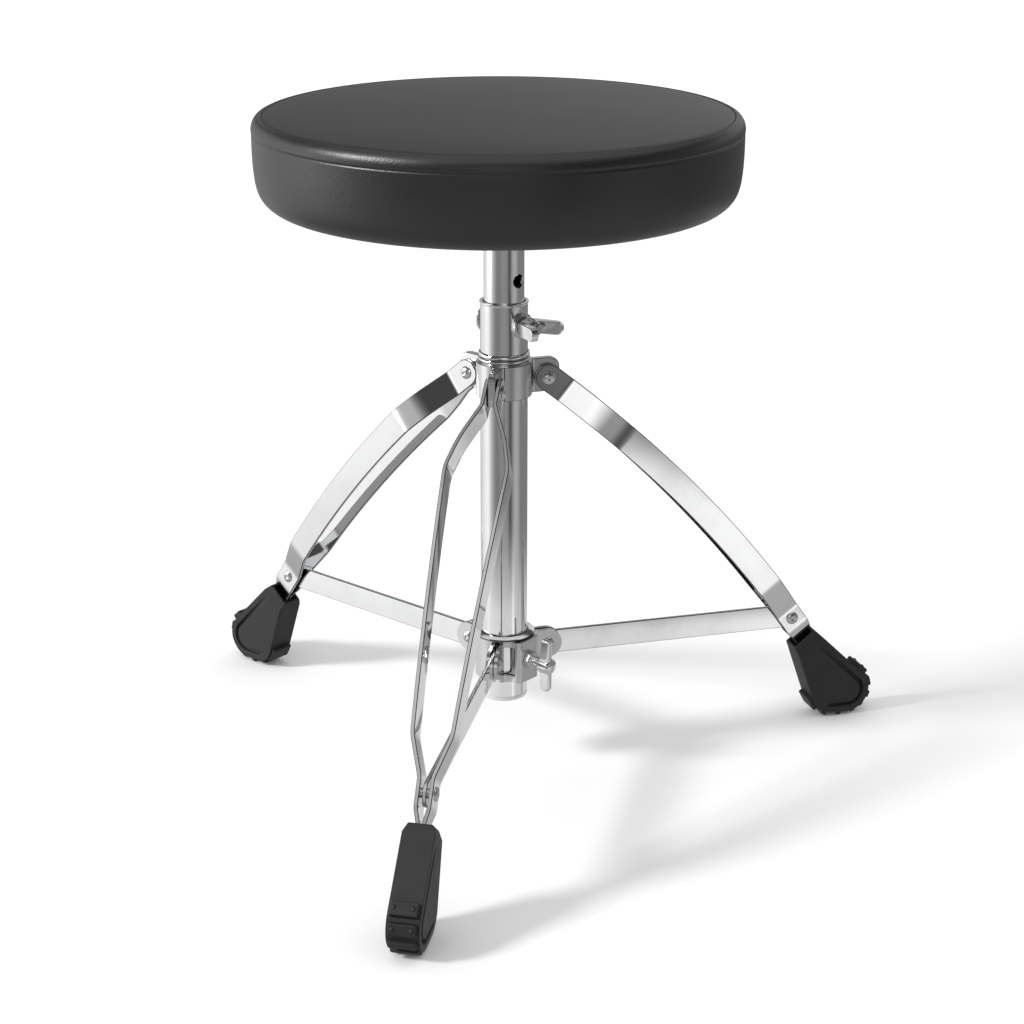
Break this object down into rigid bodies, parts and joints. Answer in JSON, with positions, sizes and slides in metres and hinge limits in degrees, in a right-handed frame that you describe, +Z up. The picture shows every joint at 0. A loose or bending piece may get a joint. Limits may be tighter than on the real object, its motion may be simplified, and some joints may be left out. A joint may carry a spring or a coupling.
{
  "type": "drum throne",
  "caption": "Round padded black stool seat on a height-adjustable chrome post with a folding double-braced tripod and rubber feet.",
  "frame": {"origin": "on the main tube's axis at floor level, under the seat's centre", "axes": "+Z up along the tube; leg 1 points along -Y, legs 2 and 3 at 30 and 150 degrees from +X; both wing screws face -30 degrees"},
  "size_m": [0.4694, 0.4156, 0.434],
  "materials": {
    "seat_cover": "fine-grained black leather-look vinyl, satin",
    "foam": "open foam",
    "plywood": "bare plywood",
    "zinc_steel": "bright zinc",
    "chrome": "bright chrome plate",
    "black_plastic": "matt",
    "nylon": "matt",
    "end_cap": "satin grey",
    "rubber_foot": "moulded, matt"
  },
  "bodies": {
    "base": {"main_tube": "chrome", "tube_bushing": "nylon", "support_ring": "chrome", "tube_end_cap": "end_cap", "height_bolt": "chrome", "height_washer": "chrome", "leg_bracket": "chrome", "leg_1_hinge_rivet": "chrome", "leg_2_hinge_rivet": "chrome", "leg_3_hinge_rivet": "chrome"},
    "seat": {"seat_cover": "seat_cover", "seat_foam": "foam", "seat_board": "plywood", "cover_staples": "zinc_steel", "tee_nuts": "zinc_steel", "seat_screws": "zinc_steel", "seat_plate": "chrome", "seat_clamp_bolt": "zinc_steel", "seat_post": "chrome", "post_plug": "black_plastic"},
    "wing_nut": {"height_wing_nut": "chrome"},
    "leg_1": {"leg_1_left_bar": "chrome", "leg_1_right_bar": "chrome", "leg_1_foot": "rubber_foot", "leg_1_brace_rivet": "chrome"},
    "leg_2": {"leg_2_left_bar": "chrome", "leg_2_right_bar": "chrome", "leg_2_foot": "rubber_foot", "leg_2_brace_rivet": "chrome"},
    "leg_3": {"leg_3_left_bar": "chrome", "leg_3_right_bar": "chrome", "leg_3_foot": "rubber_foot", "leg_3_brace_rivet": "chrome"},
    "slider": {"lower_bracket": "chrome", "lower_weld_nut": "zinc_steel", "brace_1_pivot_rivet": "chrome", "brace_2_pivot_rivet": "chrome", "brace_3_pivot_rivet": "chrome"},
    "wing_bolt": {"lower_wing_bolt": "chrome"},
    "brace_1": {"brace_1": "chrome"},
    "brace_2": {"brace_2": "chrome"},
    "brace_3": {"brace_3": "chrome"}
  },
  "joints": [
    {"name": "seat_height", "type": "slide", "parent": "base", "child": "seat", "axis": [0, 0, 1], "range_m": [-0.028, 0.084]},
    {"name": "wing_nut_spin", "type": "hinge", "parent": "base", "child": "wing_nut", "pos_m": [0, 0, 0.299], "axis": [0.866, -0.5, 0], "continuous": true},
    {"name": "leg_1_fold", "type": "hinge", "parent": "base", "child": "leg_1", "pos_m": [0, -0.028, 0.2615], "axis": [1, 0, 0], "range_deg": [0, 38]},
    {"name": "leg_2_fold", "type": "hinge", "parent": "base", "child": "leg_2", "pos_m": [0.02425, 0.014, 0.2615], "axis": [-0.5, 0.866, 0], "range_deg": [0, 38]},
    {"name": "leg_3_fold", "type": "hinge", "parent": "base", "child": "leg_3", "pos_m": [-0.02425, 0.014, 0.2615], "axis": [-0.5, -0.866, 0], "range_deg": [0, 38]},
    {"name": "bracket_slide", "type": "slide", "parent": "base", "child": "slider", "axis": [0, 0, 1], "range_m": [0, 0.10069]},
    {"name": "wing_bolt_spin", "type": "hinge", "parent": "slider", "child": "wing_bolt", "pos_m": [0, 0, 0.077], "axis": [0.866, -0.5, 0], "continuous": true},
    {"name": "brace_1_swing", "type": "hinge", "parent": "slider", "child": "brace_1", "pos_m": [0, -0.029, 0.0794], "axis": [1, 0, 0], "range_deg": [0, 81.25]},
    {"name": "brace_2_swing", "type": "hinge", "parent": "slider", "child": "brace_2", "pos_m": [0.02511, 0.0145, 0.0794], "axis": [-0.5, 0.866, 0], "range_deg": [0, 81.25]},
    {"name": "brace_3_swing", "type": "hinge", "parent": "slider", "child": "brace_3", "pos_m": [-0.02511, 0.0145, 0.0794], "axis": [-0.5, -0.866, 0], "range_deg": [0, 81.25]}
  ],
  "couplings": [
    {"joint": "leg_2_fold", "follows": "leg_1_fold", "ratio": 1},
    {"joint": "leg_3_fold", "follows": "leg_1_fold", "ratio": 1},
    {"joint": "bracket_slide", "follows": "leg_1_fold", "m_per_rad": 0.15179},
    {"joint": "brace_1_swing", "follows": "leg_1_fold", "ratio": 2.138},
    {"joint": "brace_2_swing", "follows": "leg_1_fold", "ratio": 2.138},
    {"joint": "brace_3_swing", "follows": "leg_1_fold", "ratio": 2.138}
  ]
}
